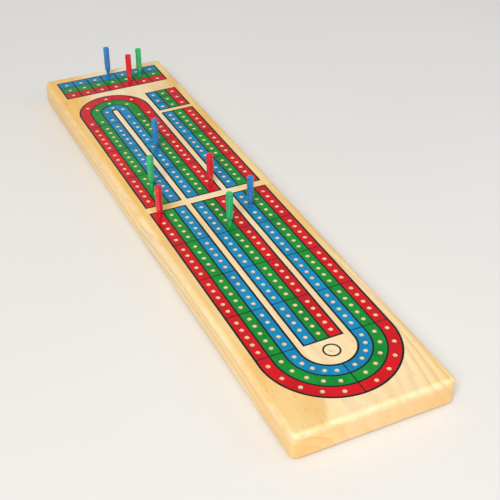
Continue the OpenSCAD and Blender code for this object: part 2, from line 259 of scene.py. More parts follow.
# How far the growth rings sway and ripple across the board, in mm, the share of that which they rise,
# and their pitch in mm
SWAY_PER_MM = (0.016, 0.0045, 0.016)
SWAY = 46.0
RIPPLE_PER_MM = (0.07, 0.009, 0.07)
RIPPLE = 7.0
DRIFT_RISE = 0.7
RING_PITCH = 5.2
LATE_WOOD_RISE = (0.25, 0.86)
LATE_WOOD_FALL = (0.9, 1.0, 1.0, 0.0)
LATE_WOOD_TONE = 0.55
LATE_WOOD_HEIGHT = 0.4
TONE_PER_MM = (0.03, 0.008, 0.03)
TONE_SHIFT = 31
TONE_PATCH = (0.42, 0.66, 0.0, 0.8)
BLUSH_PER_MM = (0.05, 0.012, 0.05)
BLUSH_SHIFT = -17
BLUSH_PATCH = (0.5, 0.75, 0.0, 0.6)
# How far from the board's middle line, in mm, the sapwood starts to fade and ends
SAPWOOD_EDGE = (14.0, 34.0)
FIBRE_SHADES = (0.93, 1.04)
STREAK_WOBBLE = 0.2
STREAK_FADE = (0.3, 1.0, 1.0, 0.0)
END_GRAIN_TURN = (0.6, 0.95)
END_GRAIN_TONE = 0.45
PORES_PER_MM = (1.3, 0.11, 1.3)
PORE_SHIFT = 5
PORE_PATCH = (0.66, 0.74, 0.0, 0.28)
PORE_SHADE = (0.6, 0.5, 0.4)
WOOD_ROUGHNESS = (0.30, 0.42)
BARE_WOOD_PALENESS = 0.6
BARE_WOOD_ROUGHER = 0.4
BARE_WOOD_BUMP = (0.8, 0.08)
SCUFFS_AND_SHEEN_PER_MM = (0.5, 0.2, 0.5)
SCUFF_AND_SHEEN_PATCH = (0.4, 0.6, 0.25, 1.0)
WEAR_AND_HIGHLIGHT_PALENESS = 0.35
WORN_ROUGHER = 0.16
VARNISH_BUMP = (0.35, 0.05)
VARNISH = {"Coat Weight": 0.35, "Coat Roughness": 0.16}
# How far in from the board's sides and ends, and down from its top, the wear and the painted highlight on
# the rounded edges fade out, in mm
WEAR_AND_HIGHLIGHT_INWARD = (3.0, 0.6)
WEAR_AND_HIGHLIGHT_DOWNWARD = (4.0, 1.5)


def fibre_height(tree, place, offset):
    """Fine fibres of the wood, long in Y and a fraction of a millimetre across."""
    return noise(tree, place, FIBRES_PER_MM, offset, detail=3.0, roughness=0.6)


def growth_rings(tree, place, wood):
    """The wood's rings about its pith: the ripple, the place moved by the drift, and the late wood."""
    slow = noise(tree, place, SWAY_PER_MM, wood["offset"], detail=1.5)
    quick = noise(tree, place, RIPPLE_PER_MM, wood["offset"], detail=2.0)
    sway = maths(tree, "MULTIPLY_ADD", slow, SWAY, -SWAY / 2)
    ripple = maths(tree, "MULTIPLY_ADD", quick, RIPPLE, -RIPPLE / 2)
    drift = maths(tree, "ADD", sway, ripple)
    lift = maths(tree, "MULTIPLY", drift, DRIFT_RISE)
    drifted = add(tree, "ShaderNodeCombineXYZ", {"X": drift, "Z": lift}).outputs[0]
    moved = vector_maths(tree, "ADD", place, drifted)
    from_pith = vector_maths(tree, "SUBTRACT", moved, wood["pith"])
    radius = length_of(tree, vector_maths(tree, "MULTIPLY", from_pith, (1.0, 0.0, 1.0)))
    ring_place = maths(tree, "FRACT", maths(tree, "DIVIDE", radius, RING_PITCH))
    late = maths(tree, "MULTIPLY",
                 remap(tree, ring_place, *LATE_WOOD_RISE), remap(tree, ring_place, *LATE_WOOD_FALL))
    return ripple, moved, late


def golden_streak(tree, place, ripple, centre, half_size):
    """1 in the middle of a long streak of resin-rich wood, fading to 0 at its rim."""
    wavy = add(tree, "ShaderNodeCombineXYZ", {"X": maths(tree, "MULTIPLY", ripple, STREAK_WOBBLE)})
    moved = vector_maths(tree, "ADD", place, wavy.outputs[0])
    beside = vector_maths(tree, "SUBTRACT", moved, (*centre, 0.0))
    half_width, half_length = half_size
    share = vector_maths(tree, "MULTIPLY", beside, (1 / half_width, 1 / half_length, 0.0))
    return remap(tree, length_of(tree, share), *STREAK_FADE)


def wood_colour(tree, place, wood, fibres, rings):
    """The wood's colour: ring lines, patches of tone, sapwood, fibres, streaks, end grain and pores."""
    ripple, moved, late = rings
    x, y, z = wood["offset"]
    golden = noise(tree, place, TONE_PER_MM, (x + TONE_SHIFT, y, z), detail=2.0)
    rosy = noise(tree, place, BLUSH_PER_MM, (x + BLUSH_SHIFT, y, z), detail=1.0)
    flecks = noise(tree, place, PORES_PER_MM, (x, y + PORE_SHIFT, z), detail=1.0)
    colour = mix_colour(tree, maths(tree, "MULTIPLY", late, LATE_WOOD_TONE), wood["pale"], wood["late"])
    colour = mix_colour(tree, remap(tree, golden, *TONE_PATCH), colour, wood["gold"])
    colour = mix_colour(tree, remap(tree, rosy, *BLUSH_PATCH), colour, wood["blush"])
    across = maths(tree, "ABSOLUTE", coordinate(tree, moved, "X"))
    inward = remap(tree, across, *SAPWOOD_EDGE, wood["sapwood"], 0.0)
    colour = mix_colour(tree, inward, colour, SAPWOOD)
    shade = spread(tree, fibres, *FIBRE_SHADES)
    shades = add(tree, "ShaderNodeCombineColor", {"Red": shade, "Green": shade, "Blue": shade})
    colour = mix_colour(tree, 1.0, colour, shades.outputs[0], "MULTIPLY")
    for centre, half_size, strength in wood["golden_streaks"]:
        streak = golden_streak(tree, place, ripple, centre, half_size)
        colour = mix_colour(tree, maths(tree, "MULTIPLY", streak, strength), colour, wood["gold"])
    facing = add(tree, "ShaderNodeTexCoord").outputs["Normal"]
    along = maths(tree, "ABSOLUTE", coordinate(tree, facing, "Y"))
    end_grain = remap(tree, along, *END_GRAIN_TURN)
    colour = mix_colour(tree, maths(tree, "MULTIPLY", end_grain, END_GRAIN_TONE), colour, wood["late"])
    pore = (*(tone * darker for tone, darker in zip(wood["late"], PORE_SHADE)), 1.0)
    return mix_colour(tree, remap(tree, flecks, *PORE_PATCH), colour, pore)


def worn_and_highlit_edges(tree, place):
    """1 along the rounded top edges of the board, fading to 0 inside them: where the varnish is worn and a
    highlight is painted.
    """
    start, full = WEAR_AND_HIGHLIGHT_INWARD

    def edge(axis, reach):
        distance = maths(tree, "ABSOLUTE", coordinate(tree, place, axis))
        return remap(tree, distance, reach / MM - start, reach / MM - full)

    down, up = WEAR_AND_HIGHLIGHT_DOWNWARD
    high = remap(tree, coordinate(tree, place, "Z"), TOP_Z / MM - down, TOP_Z / MM - up)
    beside = maths(tree, "MAXIMUM", edge("X", HALF_WIDTH), edge("Y", HALF_LENGTH))
    return maths(tree, "MULTIPLY", beside, high)


def wood_material(name, wood, bare=False):
    """Softwood, varnished and a little worn, with a painted highlight that makes its rounded top edges
    paler, or bare and paler, as inside its drilled holes.
    """
    material, tree, shader, place = new_material(name)
    rings = growth_rings(tree, place, wood)
    fibres = fibre_height(tree, place, wood["offset"])
    colour = wood_colour(tree, place, wood, fibres, rings)
    height = maths(tree, "ADD", fibres, maths(tree, "MULTIPLY", rings[-1], LATE_WOOD_HEIGHT))
    gloss = spread(tree, fibres, *WOOD_ROUGHNESS)
    if bare:
        feed(tree, shader, {
            "Base Color": mix_colour(tree, BARE_WOOD_PALENESS, colour, RAW_WOOD),
            "Roughness": maths(tree, "ADD", gloss, BARE_WOOD_ROUGHER),
            "Normal": bump(tree, height, *BARE_WOOD_BUMP)})
        return material
    # Paler patches along the rounded top edges: partly worn varnish, partly a painted highlight where
    # light catches the roundover
    scuffs_and_sheen = noise(tree, place, SCUFFS_AND_SHEEN_PER_MM, wood["offset"], detail=4.0, roughness=0.7)
    wear_and_highlight = maths(tree, "MULTIPLY", worn_and_highlit_edges(tree, place), remap(tree, scuffs_and_sheen, *SCUFF_AND_SHEEN_PATCH))
    feed(tree, shader, {
        "Base Color": mix_colour(tree, maths(tree, "MULTIPLY", wear_and_highlight, WEAR_AND_HIGHLIGHT_PALENESS), colour, RAW_WOOD),
        "Roughness": maths(tree, "MULTIPLY_ADD", wear_and_highlight, WORN_ROUGHER, gloss),
        "Normal": bump(tree, height, *VARNISH_BUMP),
        **VARNISH})
    return material


INK_CLOUD_PER_MM = (0.09, 0.05, 0.09)
INK_MOTTLE_PER_MM = (0.9, 0.35, 0.9)
INK_CLOUD_SHARE = 0.6
INK_PATCH = (0.35, 0.68, 0.0, 0.75)
INK_ROUGHNESS = (0.32, 0.46)
INK_MOTTLE_HEIGHT = 0.5
INK_BUMP = (0.3, 0.03)
INK_GLOSS = {"Specular IOR Level": 0.3, "Coat Weight": 0.15, "Coat Roughness": 0.12}


def ink_material(name, colour, deep, offset):
    """Screen-printed ink under varnish: a slightly uneven film that the wood's fibres show through."""
    material, tree, shader, place = new_material(name)
    cloud = noise(tree, place, INK_CLOUD_PER_MM, offset, detail=3.0)
    mottle = noise(tree, place, INK_MOTTLE_PER_MM, offset, detail=2.0)
    fibres = fibre_height(tree, place, offset)
    uneven = maths(tree, "ADD", maths(tree, "MULTIPLY", cloud, INK_CLOUD_SHARE),
                   maths(tree, "MULTIPLY", mottle, 1 - INK_CLOUD_SHARE))
    height = maths(tree, "ADD", fibres, maths(tree, "MULTIPLY", mottle, INK_MOTTLE_HEIGHT))
    feed(tree, shader, {
        "Base Color": mix_colour(tree, remap(tree, uneven, *INK_PATCH), colour, deep),
        "Roughness": spread(tree, mottle, *INK_ROUGHNESS),
        "Normal": bump(tree, height, *INK_BUMP),
        **INK_GLOSS})
    return material


PLASTIC_FLOW_PER_MM = (0.8, 0.8, 0.12)
PLASTIC_GRAIN_PER_MM = (3.0, 3.0, 3.0)
PLASTIC_PATCH = (0.35, 0.7, 0.0, 0.5)
PLASTIC_ROUGHNESS = (0.16, 0.26)
PLASTIC_BUMP = (0.15, 0.02)
PLASTIC_DEPTH = {
    "Subsurface Weight": 0.25,
    "Subsurface Radius": (1.0, 0.8, 0.8),
    "Subsurface Scale": 0.6 * MM,
    "Coat Weight": 0.4,
    "Coat Roughness": 0.06,
}


def plastic_material(name, colour, deep, offset):
    """Glossy moulded plastic, a little translucent, with faint flow marks along its length."""
    material, tree, shader, place = new_material(name)
    flow = noise(tree, place, PLASTIC_FLOW_PER_MM, offset, detail=2.0)
    grain = noise(tree, place, PLASTIC_GRAIN_PER_MM, offset, detail=2.0)
    feed(tree, shader, {
        "Base Color": mix_colour(tree, remap(tree, flow, *PLASTIC_PATCH), colour, deep),
        "Roughness": spread(tree, grain, *PLASTIC_ROUGHNESS),
        "Normal": bump(tree, grain, *PLASTIC_BUMP),
        **PLASTIC_DEPTH})
    return material


TARNISH_PER_MM = (0.35, 0.35, 0.35)
TARNISH_OFFSET = (3.0, 1.0, 8.0)
TARNISH_PATCH = (0.45, 0.75, 0.0, 0.5)
BRUSH_ROUGHER = 0.16
BRUSH_BUMP = (0.2, 0.02)


def metal_material(name, colour, dull, roughness, brush):
    """Plated metal with brush marks along one axis and a little tarnish."""
    material, tree, shader, place = new_material(name)
    marks = noise(tree, place, brush, detail=3.0, roughness=0.7)
    tarnish = noise(tree, place, TARNISH_PER_MM, TARNISH_OFFSET, detail=3.0)
    feed(tree, shader, {
        "Base Color": mix_colour(tree, remap(tree, tarnish, *TARNISH_PATCH), colour, dull),
        "Metallic": 1.0,
        "Roughness": spread(tree, marks, roughness, roughness + BRUSH_ROUGHER),
        "Normal": bump(tree, marks, *BRUSH_BUMP)})
    return material


RUBBER = srgb(38, 38, 40)
RUBBER_DUST = srgb(84, 82, 80)
RUBBER_GRAIN_PER_MM = (4.0, 4.0, 4.0)
RUBBER_DUST_PER_MM = (0.6, 0.6, 0.6)
RUBBER_DUST_OFFSET = (5.0, 2.0, 1.0)
RUBBER_PATCH = (0.5, 0.8, 0.0, 0.5)
RUBBER_ROUGHNESS = (0.62, 0.85)
RUBBER_BUMP = (0.4, 0.05)


def rubber_material(name):
    """Matte dark rubber with a fine moulded grain and some dust."""
    material, tree, shader, place = new_material(name)
    grain = noise(tree, place, RUBBER_GRAIN_PER_MM, detail=3.0)
    dust = noise(tree, place, RUBBER_DUST_PER_MM, RUBBER_DUST_OFFSET, detail=4.0)
    feed(tree, shader, {
        "Base Color": mix_colour(tree, remap(tree, dust, *RUBBER_PATCH), RUBBER, RUBBER_DUST),
        "Roughness": spread(tree, grain, *RUBBER_ROUGHNESS),
        "Normal": bump(tree, grain, *RUBBER_BUMP)})
    return material


FLOOR_TONES = (srgb(226, 224, 220), srgb(234, 233, 230))
FLOOR_CLOUD_PER_MM = (0.004, 0.004, 0.004)
FLOOR_ROUGHNESS = 0.85
# Distances from the middle of the object, in mm, over which the floor fades into the background
FLOOR_FADE = (500.0, 1500.0)


def floor_material():
    """A pale matte floor that fades into the plain background far from the object."""
    material, tree, shader, place = new_material("studio_floor")
    cloud = noise(tree, place, FLOOR_CLOUD_PER_MM, detail=2.0)
    feed(tree, shader, {"Base Color": mix_colour(tree, cloud, *FLOOR_TONES), "Roughness": FLOOR_ROUGHNESS})
    backdrop = add(tree, "ShaderNodeEmission", {"Color": BACKDROP_COLOUR})
    distance = remap(tree, length_of(tree, place), *FLOOR_FADE)
    faded = mix_shaders(tree, distance, shader.outputs[0], backdrop.outputs[0])
    feed(tree, find_node(tree, "OUTPUT_MATERIAL"), {"Surface": faded})
    return material


def make_materials():
    """Every material by its name, which is a material slot of the record or a half's bare wood."""
    made = {"foot_rubber": rubber_material("foot_rubber")}
    for half, wood in WOODS.items():
        made[f"{half}_wood"] = wood_material(f"{half}_wood", wood)
        made[f"{half}_bare_wood"] = wood_material(f"{half}_bare_wood", wood, bare=True)
    for maker, looks in ((ink_material, INKS), (plastic_material, PLASTICS), (metal_material, METALS)):
        for name, look in looks.items():
            made[name] = maker(name, *look)
    return made


MATERIALS = make_materials()


# ------------------------ measuring the frame

SAME_PLACE = 1e-6
ROUND_TOLERANCE = 0.01


def flat_loops(node, z):
    """Outlines of a CAD node's flat faces at height z, each with the material on its left from above."""
    mesh = NODES[node].data
    edges = set()
    for face in mesh.polygons:
        places = [mesh.vertices[i].co for i in face.vertices]
        if any(abs(place.z - z) > SAME_PLACE for place in places):
            continue
        corners = [(round(p.x / SAME_PLACE), round(p.y / SAME_PLACE)) for p in places]
        if face.normal.z < 0:
            corners.reverse()
        edges.update(zip(corners, corners[1:] + corners[:1]))
    following = {start: end for start, end in edges if (end, start) not in edges}
    loops = []
    for start in sorted(following):
        loop = []
        here = start
        while here in following:
            loop.append(Vector(here) * SAME_PLACE)
            here = following.pop(here)
        if loop:
            loops.append(loop)
    return loops


def round_shape(loop):
    """The centre and radius of a loop if it is round, or else None."""
    centre = sum(loop, Vector((0, 0))) / len(loop)
    distances = [(point - centre).length for point in loop]
    if max(distances) - min(distances) > ROUND_TOLERANCE * max(distances):
        return None
    return centre, max(distances)


def round_outlines(node, z):
    """The centre and radius of each round outline that a CAD node has at height z."""
    return [shape for shape in map(round_shape, flat_loops(node, z)) if shape]


# ------------------------ mesh helpers

HOLE_STEPS = 32
CORNER_STEPS = 6
FILLET_STEPS = 4
TURNED_STEPS = 48
# The kind of triangulation that gives only the faces inside its loops
INSIDE_FACES = 1
QUARTER_TURN = math.pi / 2
# Where two faces meet at more than this angle, the edge between them stays sharp
SHARP_ANGLE = math.radians(35.0)
# How closely a face's normal must stand along Z for the face to count as level
LEVEL = 0.9999


def new_object(name, mesh_maker):
    """A new object in the row frame, with a mesh that mesh_maker fills in."""
    mesh = bpy.data.meshes.new(name)
    shape = bmesh.new()
    mesh_maker(shape)
    bmesh.ops.recalc_face_normals(shape, faces=shape.faces)
    shape.to_mesh(mesh)
    shape.free()
    made = bpy.data.objects.new(name, mesh)
    bpy.context.scene.collection.objects.link(made)
    return made


def join_solid(piece, mesh_maker):
    """Joins another closed solid to a piece's mesh."""
    tool = new_object("joined", mesh_maker)
    union = piece.modifiers.new("union", "BOOLEAN")
    union.operation = "UNION"
    union.solver = "EXACT"
    union.object = tool
    evaluated = piece.evaluated_get(bpy.context.evaluated_depsgraph_get())
    joined = bpy.data.meshes.new_from_object(evaluated)
    piece.modifiers.clear()
    piece.data = joined
    bpy.data.objects.remove(tool)


def smooth(piece):
    """Smooth shading with sharp edges kept, in which a level face stays flat up to its rounded rim."""
    mesh = piece.data
    mesh.shade_smooth()
    mesh.set_sharp_from_angle(angle=SHARP_ANGLE)
    normals = [corner.vector.copy() for corner in mesh.corner_normals]
    level = {}
    for face in mesh.polygons:
        if abs(face.normal.z) > LEVEL:
            level.update(dict.fromkeys(face.vertices, face.normal.copy()))
    for corner in mesh.loops:
        flat = level.get(corner.vertex_index)
        if flat and flat.dot(normals[corner.index]) > math.cos(SHARP_ANGLE):
            normals[corner.index] = flat
    mesh.normals_split_custom_set(normals)


def make_piece(name, node, mesh_maker, added_solid=None, extra_materials=()):
    """A piece that stands for a CAD node and rides with it."""
    piece = new_object(name, mesh_maker)
    for material in (SLOT_OF_NODE[node], *extra_materials):
        piece.data.materials.append(MATERIALS[material])
    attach(piece, BODY_OF_NODE[node])
    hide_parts(node)
    if added_solid:
        join_solid(piece, added_solid)
    smooth(piece)


def point_at(centre, radius, angle):
    return Vector(centre) + radius * Vector((math.cos(angle), math.sin(angle)))


def circle(centre, radius, steps, clockwise=False):
    turn = -2 * math.pi / steps if clockwise else 2 * math.pi / steps
    return [point_at(centre, radius, turn * i) for i in range(steps)]


def arc(centre, radius, start_deg, end_deg, steps):
    angles = [math.radians(start_deg + (end_deg - start_deg) * i / steps) for i in range(steps + 1)]
    return [point_at(centre, radius, angle) for angle in angles]


def inset(loop, distance):
    """A loop moved into the material on its left, by a distance."""
    moved = []
    for before, here, after in zip(loop[-1:] + loop[:-1], loop, loop[1:] + loop[:1]):
        arriving = (here - before).normalized()
        leaving = (after - here).normalized()
        left = Vector((-arriving.y, arriving.x))
        bisector = (left + Vector((-leaving.y, leaving.x))).normalized()
        moved.append(here + bisector * distance / bisector.dot(left))
    return moved


def eased(depth, radius):
    """How far an edge of this radius has drawn in, at a depth below its face."""
    if depth >= radius:
        return 0.0
    return radius - math.sqrt(radius ** 2 - (radius - depth) ** 2)


def edge_depths(radius, steps):
    """Depths below a face at which an edge of this radius turns in equal steps."""
    return [radius * (1 - math.cos(QUARTER_TURN * i / steps)) for i in range(steps + 1)]


def ring(shape, loop, z):
    return [shape.verts.new((point.x, point.y, z)) for point in loop]


def wall(shape, rings, material=0):
    """Strips of faces between neighbouring rings of equal length."""
    for first, second in zip(rings, rings[1:]):
        for i in range(len(first)):
            face = shape.faces.new((first[i - 1], first[i], second[i], second[i - 1]))
            face.material_index = material


def fan(shape, around, tip, material=0):
    """Faces from a ring to one point."""
    for i in range(len(around)):
        shape.faces.new((around[i - 1], around[i], tip)).material_index = material


def winding(points):
    """Twice the area of a loop, negative if it runs clockwise."""
    return sum(a.cross(b) for a, b in zip(points, points[1:] + points[:1]))


def cap(shape, rings, material=0):
    """A flat face bounded by rings: inside each, but not inside a ring within it."""
    corners = []
    loops = []
    for around in rings:
        numbers = list(range(len(corners), len(corners) + len(around)))
        corners += around
        if winding([v.co.xy for v in around]) < 0:
            numbers.reverse()
        loops.append(numbers)
    flat = [v.co.xy / MM for v in corners]
    _, _, faces, sources, _, insides = delaunay_2d_cdt(flat, [], loops, INSIDE_FACES, SAME_PLACE)
    for face, inside in zip(faces, insides):
        if len(inside) % 2:
            made = shape.faces.new([corners[sources[i][0]] for i in face])
            made.material_index = material


def turned(shape, profile, centre, steps):
    """Revolves a profile of (radius, z) pairs about the vertical line through centre."""
    rings = []
    for radius, z in profile:
        if radius == 0:
            rings.append([shape.verts.new((centre.x, centre.y, z))])
        else:
            rings.append(ring(shape, circle(centre.xy, radius, steps), z))
    for lower, upper in zip(rings, rings[1:]):
        if len(lower) == 1:
            fan(shape, upper, lower[0])
        elif len(upper) == 1:
            fan(shape, lower, upper[0])
        else:
            wall(shape, [lower, upper])


def fillet(before, corner, after, radius):
    """Points of a curve that rounds a corner, from this far before it to this far after it."""
    start = corner + (before - corner).normalized() * radius
    end = corner + (after - corner).normalized() * radius
    shares = [i / FILLET_STEPS for i in range(FILLET_STEPS + 1)]
    return [(1 - t) ** 2 * start + 2 * t * (1 - t) * corner + t ** 2 * end for t in shares]


def filleted(outline):
    """The profile of an outline given as pairs of a corner and the size of its fillet."""
    corners = [Vector(corner) for corner, _ in outline]
    sizes = [size for _, size in outline]
    points = corners[:1]
    for before, corner, after, size in zip(corners, corners[1:], corners[2:], sizes[1:]):
        points += fillet(before, corner, after, size) if size else [corner]
    return points + corners[-1:]


# ------------------------ wooden halves

# The number of a half's bare wood among its materials, after the varnished wood and before the inks
BARE = 1
FOLD_GAP = board_low.y
CORNER_RADIUS = 4.0 * MM
FOLD_CORNER_RADIUS = 0.25 * MM
FOLD_LOWER_EDGE = 0.2 * MM
TOP_EDGE_STEPS = 10
LOWER_EDGE_STEPS = 5
RIM_STEPS = 3
DRILL_POINT = 0.8 * MM
# How far the ink has run down a hole's wall below its eased rim
INK_RUN = 0.12 * MM
# The stated bore shows the radius and the floor that all the peg holes share
HOLE = next(mount for mount in frame["record"]["mounts"] if mount["name"] == "far_peg_hole")
HOLE_RADIUS = HOLE["dims"]["r_mm"] * MM
HOLE_FLOOR_Z = HOLE["pos_m"][2] - HOLE["dims"]["length_mm"] * MM / 2
# How much the edges of a routed hollow and of a drilled pocket are eased, at the mouth and at the roof
ROUTED_EDGES = (0.25 * MM, 0.8 * MM)
DRILLED_EDGES = (0.0625 * MM, 0.0625 * MM)


def board_outline(side, edge_inset, fold_inset):
    """Outline of one half from above, drawn in from its sides and far end, and back from the fold."""
    x = HALF_WIDTH - edge_inset
    near_y = FOLD_GAP + fold_inset
    far_y = HALF_LENGTH - edge_inset
    corner = CORNER_RADIUS - edge_inset
    ease = FOLD_CORNER_RADIUS
    loop = arc((x - ease, near_y + ease), ease, -90, 0, CORNER_STEPS)
    loop += arc((x - corner, far_y - corner), corner, 0, 90, CORNER_STEPS)
    loop += arc((corner - x, far_y - corner), corner, 90, 180, CORNER_STEPS)
    loop += arc((ease - x, near_y + ease), ease, 180, 270, CORNER_STEPS)
    return [Vector((point.x, side * point.y)) for point in loop]


def drilled_hole(shape, centre, mouth_radius, rim_material):
    """A peg hole with an eased rim and a drill point. Returns the ring around its mouth."""
    ease = mouth_radius - HOLE_RADIUS
    rim = [
        ring(shape, circle(centre, HOLE_RADIUS + eased(depth, ease), HOLE_STEPS), TOP_Z - depth)
        for depth in edge_depths(ease, RIM_STEPS)
    ]
    inked = ring(shape, circle(centre, HOLE_RADIUS, HOLE_STEPS), TOP_Z - ease - INK_RUN)
    floor = ring(shape, circle(centre, HOLE_RADIUS, HOLE_STEPS), HOLE_FLOOR_Z)
    wall(shape, rim + [inked], rim_material)
    wall(shape, [inked, floor], BARE)
    tip = shape.verts.new((centre.x, centre.y, HOLE_FLOOR_Z - DRILL_POINT))
    fan(shape, floor, tip, BARE)
    return rim[0]


def lane_of_hole(half):
    """A function that gives the material number of the ink printed around a hole, or of bare wood."""
    printed = []
    for number, colour in enumerate(COLOURS, BARE + 1):
        node = f"{half}_{colour}_lanes"
        printed += [(place, number) for place, _ in round_outlines(node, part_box(node)[1].z)]

    def find(centre):
        place, number = min(printed, key=lambda entry: (entry[0] - centre).length)
        return number if (place - centre).length < HOLE_RADIUS else BARE

    return find


def roof_over(node, loop):
    """Height of the roof of a pocket with upright walls that opens downwards at this loop."""
    corner = loop[0]
    heights = [
        v.co.z for v in NODES[node].data.vertices
        if (v.co.xy - corner).length < 2 * SAME_PLACE and v.co.z > BOARD_BOTTOM_Z + SAME_PLACE
    ]
    return min(heights)


def pocket(shape, loop, roof_z, mouth_edge, roof_edge):
    """A pocket in the underside, with eased edges at its mouth and roof. Returns its mouth ring."""
    rings = [
        ring(shape, inset(loop, eased(depth, mouth_edge)), BOARD_BOTTOM_Z + depth)
        for depth in edge_depths(mouth_edge, RIM_STEPS)
    ]
    rings += [
        ring(shape, inset(loop, -eased(depth, roof_edge)), roof_z - depth)
        for depth in reversed(edge_depths(roof_edge, LOWER_EDGE_STEPS))
    ]
    wall(shape, rings, BARE)
    cap(shape, [rings[-1]], BARE)
    return rings[0]


def make_board(half, side):
    """One solid wooden half: rounded edges, drilled peg holes, and pockets in its underside."""
    node = f"{half}_board"
    top_loops = flat_loops(node, TOP_Z)
    under_loops = flat_loops(node, BOARD_BOTTOM_Z)
    top_face = max(top_loops, key=winding)
    under_face = max(under_loops, key=winding)
    top_loops.remove(top_face)
    under_loops.remove(under_face)
    top_edge = HALF_WIDTH - max(point.x for point in top_face)
    lower_edge = HALF_WIDTH - max(point.x for point in under_face)
    fold_edge = min(abs(point.y) for point in top_face) - FOLD_GAP
    rim_material = lane_of_hole(half)

    def build(shape):
        rings = [
            ring(shape,
                 board_outline(side, eased(depth, lower_edge), eased(depth, FOLD_LOWER_EDGE)),
                 BOARD_BOTTOM_Z + depth)
            for depth in edge_depths(lower_edge, LOWER_EDGE_STEPS)
        ]
        rings += [
            ring(shape,
                 board_outline(side, eased(depth, top_edge), eased(depth, fold_edge)),
                 TOP_Z - depth)
            for depth in reversed(edge_depths(top_edge, TOP_EDGE_STEPS))
        ]
        wall(shape, rings)
        mouths = []
        for loop in top_loops:
            centre, radius = round_shape(loop)
            mouths.append(drilled_hole(shape, centre, radius, rim_material(centre)))
        cap(shape, [rings[-1]] + mouths)
        mouths = []
        for loop in under_loops:
            edges = DRILLED_EDGES if round_shape(loop) else ROUTED_EDGES
            mouths.append(pocket(shape, loop, roof_over(node, loop), *edges))
        cap(shape, [rings[0]] + mouths)

    inks = [f"{colour}_ink" for colour in COLOURS]
    make_piece(f"{half}_wooden_half", node, build, extra_materials=[f"{half}_bare_wood"] + inks)


# ------------------------ printed ink

COLOUR_FILM = 0.07 * MM
LINE_FILM = 0.09 * MM
FILM_EDGE = 0.04 * MM
FILM_STEPS = 2
LARGEST_HOLE = 2.0 * MM


def make_print(node, name, film):
    """One colour's printed film: the flat outlines of its CAD node, with softly rounded edges."""
    low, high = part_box(node)
    loops = flat_loops(node, high.z)

    def build(shape):
        tops = []
        bottoms = []
        for loop in loops:
            found = round_shape(loop)
            if found and found[1] < LARGEST_HOLE:
                loop = circle(found[0], found[1], HOLE_STEPS, clockwise=True)
            rings = [ring(shape, loop, low.z)]
            rings += [
                ring(shape, inset(loop, eased(depth, FILM_EDGE)), low.z + film - depth)
                for depth in reversed(edge_depths(FILM_EDGE, FILM_STEPS))
            ]
            wall(shape, rings)
            bottoms.append(rings[0])
            tops.append(rings[-1])
        cap(shape, tops)
        cap(shape, bottoms)

    make_piece(name, node, build)


# ------------------------ pegs

PEG_HEAD_LENGTH = 16.5 * MM
PEG_CONE = 2.0 * MM
PEG_CLEARANCE = 0.07 * MM
PEG_SHANK_RADIUS = HOLE_RADIUS - PEG_CLEARANCE
PEG_TIP = 0.3 * MM
PEG_DRAFT = 0.06 * MM
PEG_DOME = 0.8 * MM
PEG_CAP = 2.6 * MM
PEG_GROOVE = 0.15 * MM
PEG_GROOVE_EDGE = 0.05 * MM
PEG_SOFT_EDGE = 0.1 * MM
PEG_SHOULDER = 0.8 * MM
PEG_HEAD_BLEND = 1.2 * MM
DOME_STEPS = 8


def peg_profile(low_z, top_z, head_radius):
    """Half outline of a peg, from the tip of its shank up over its domed cap."""
    head_z = top_z - PEG_HEAD_LENGTH
    groove_z = top_z - PEG_CAP
    lower = filleted([
        ((0, low_z), 0),
        ((PEG_SHANK_RADIUS - PEG_TIP, low_z), PEG_SOFT_EDGE),
        ((PEG_SHANK_RADIUS, low_z + PEG_TIP), PEG_SOFT_EDGE),
        ((PEG_SHANK_RADIUS, head_z - PEG_CONE), PEG_SHOULDER),
        ((head_radius - PEG_DRAFT, head_z), PEG_HEAD_BLEND),
        ((head_radius, groove_z - PEG_GROOVE), PEG_GROOVE_EDGE),
        ((head_radius - PEG_GROOVE, groove_z), PEG_GROOVE_EDGE),
        ((head_radius, groove_z + PEG_GROOVE), PEG_GROOVE_EDGE),
        ((head_radius, top_z - PEG_DOME), 0),
    ])
    dome_radius = (head_radius ** 2 + PEG_DOME ** 2) / (2 * PEG_DOME)
    half_angle = math.asin(head_radius / dome_radius)
    angles = [half_angle * (1 - i / DOME_STEPS) for i in range(1, DOME_STEPS)]
    dome = [(dome_radius * math.sin(a), top_z - dome_radius * (1 - math.cos(a))) for a in angles]
    return lower + dome + [(0, top_z)]


def make_peg(colour, place):
    node = f"{colour}_{place}_peg"
    low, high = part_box(node)
    centre = (low + high) / 2
    profile = peg_profile(low.z, high.z, (high.x - low.x) / 2)
    make_piece(node + "_moulding", node, lambda shape: turned(shape, profile, centre, TURNED_STEPS))


# ------------------------ hinges

LEAF_THICKNESS = 0.8 * MM
LEAF_CORNER = 1.6 * MM
LEAF_EDGE = 0.12 * MM
LEAF_STEPS = 3
KNUCKLES = 3
KNUCKLE_GAP = 0.2 * MM
KNUCKLE_EDGE = 0.06 * MM
CURL_STEPS = 14
BORE_CLEARANCE = 0.05 * MM
PIN_RADIUS = (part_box("left_hinge_pin")[1].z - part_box("left_hinge_pin")[0].z) / 2
PIN_Z = next(j["pos_m"][2] for j in frame["joints"] if j["name"] == "fold")
PIN_EDGE = PIN_RADIUS / 3
BARREL_RADIUS = PIN_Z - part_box("left_hinge_far_leaf")[0].z
BARREL_TO_PLATE = 0.3 * MM
PLATE_START = BARREL_RADIUS + BARREL_TO_PLATE
TAB_OVERLAP = 0.6 * MM
# Lays a shape that was made along Z down along X, so that its X and Y become Y and Z
ALONG_X = Matrix(((0, 0, 1, 0), (1, 0, 0, 0), (0, 1, 0, 0), (0, 0, 0, 1)))


def screw_hole_radius(half):
    """Radius of the smallest round holes in the underside, which the hinge screws are driven into."""
    return min(radius for _, radius in round_outlines(f"{half}_board", BOARD_BOTTOM_Z))


